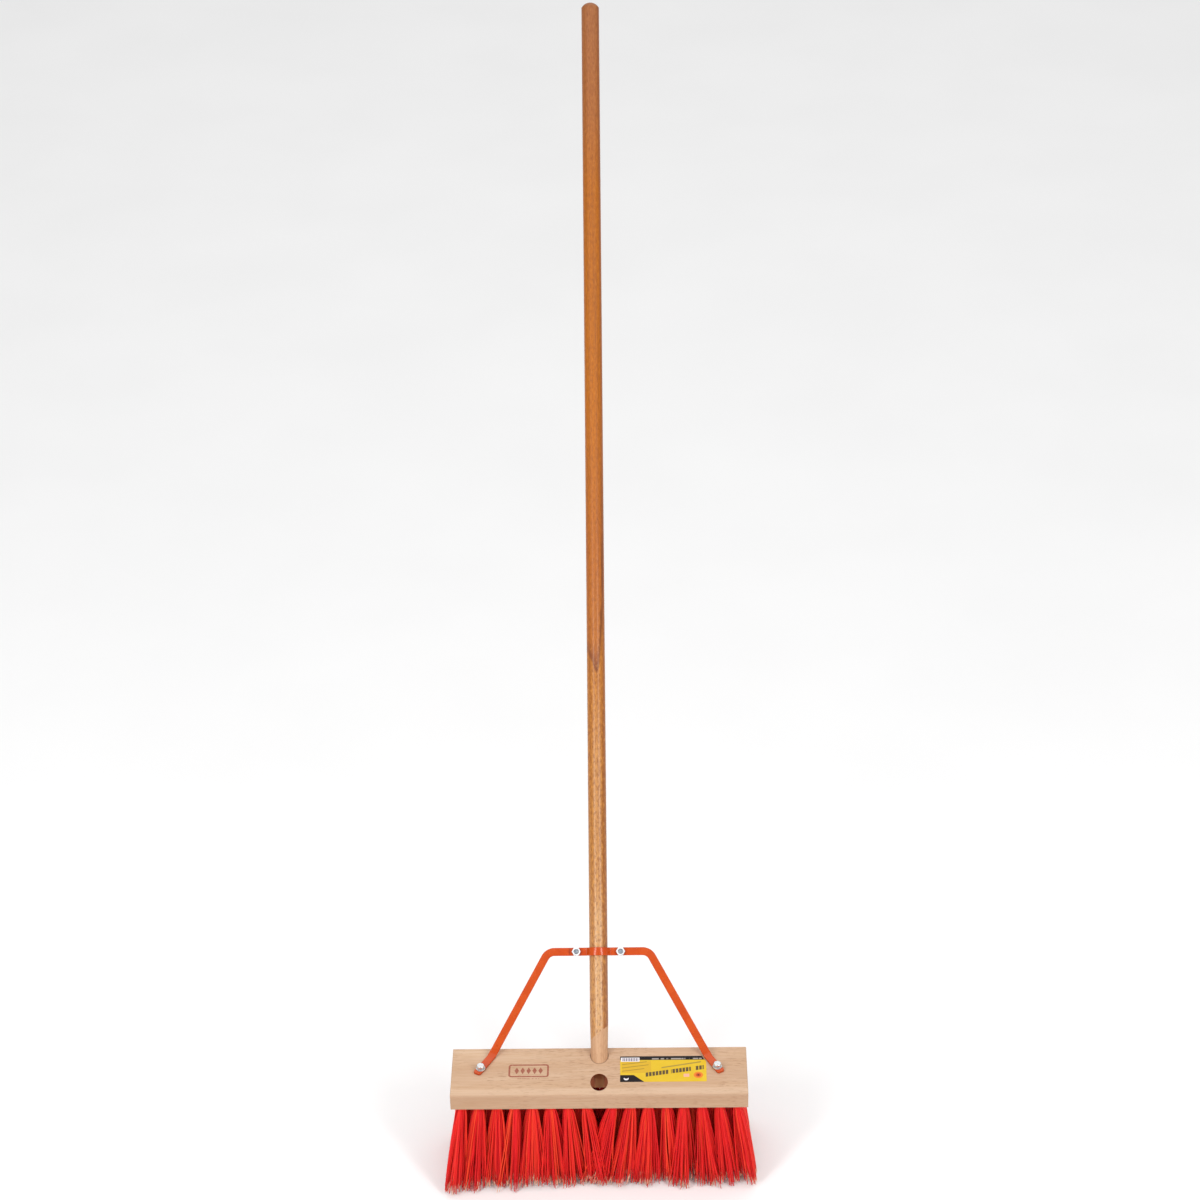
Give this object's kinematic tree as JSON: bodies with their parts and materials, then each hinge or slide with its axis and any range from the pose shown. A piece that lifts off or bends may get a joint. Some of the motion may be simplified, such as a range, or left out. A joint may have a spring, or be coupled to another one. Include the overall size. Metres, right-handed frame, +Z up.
{
  "type": "push broom",
  "caption": "Street push broom: hardwood head with staple-set plastic tufts, long wooden handle in an inclined socket, bolted steel strap brace and a spare handle socket.",
  "frame": {"origin": "on the floor under the middle of the head block, in the plane of the bristle tips", "axes": "+Z up, +X along the head block, -Y the way the head is pushed, with the handle leaning back to +Y"},
  "size_m": [0.4166, 1.0631, 1.3131],
  "materials": {
    "block_wood": "sanded bare hardwood",
    "handle_wood": "clear lacquer, bare at the foot",
    "orange_paint": "gloss enamel on steel strap",
    "zinc_steel": "bright zinc plate",
    "label_paper": "printed, satin film",
    "bristle_plastic": "extruded polypropylene fibre",
    "staple_wire": "drawn flat wire"
  },
  "bodies": {
    "root": {"block": "block_wood", "handle": "handle_wood", "brace_arm_left": "orange_paint", "brace_arm_right": "orange_paint", "clamp_bolt_left": "zinc_steel", "clamp_bolt_right": "zinc_steel", "clamp_nut_left": "zinc_steel", "clamp_nut_right": "zinc_steel", "foot_screw_left": "zinc_steel", "foot_screw_right": "zinc_steel", "product_label": "label_paper", "bristle_row_1": "bristle_plastic", "bristle_row_2": "bristle_plastic", "bristle_row_3": "bristle_plastic", "bristle_row_4": "bristle_plastic", "bristle_row_5": "bristle_plastic", "staple_row_1": "staple_wire", "staple_row_2": "staple_wire", "staple_row_3": "staple_wire", "staple_row_4": "staple_wire", "staple_row_5": "staple_wire"}
  },
  "joints": []
}
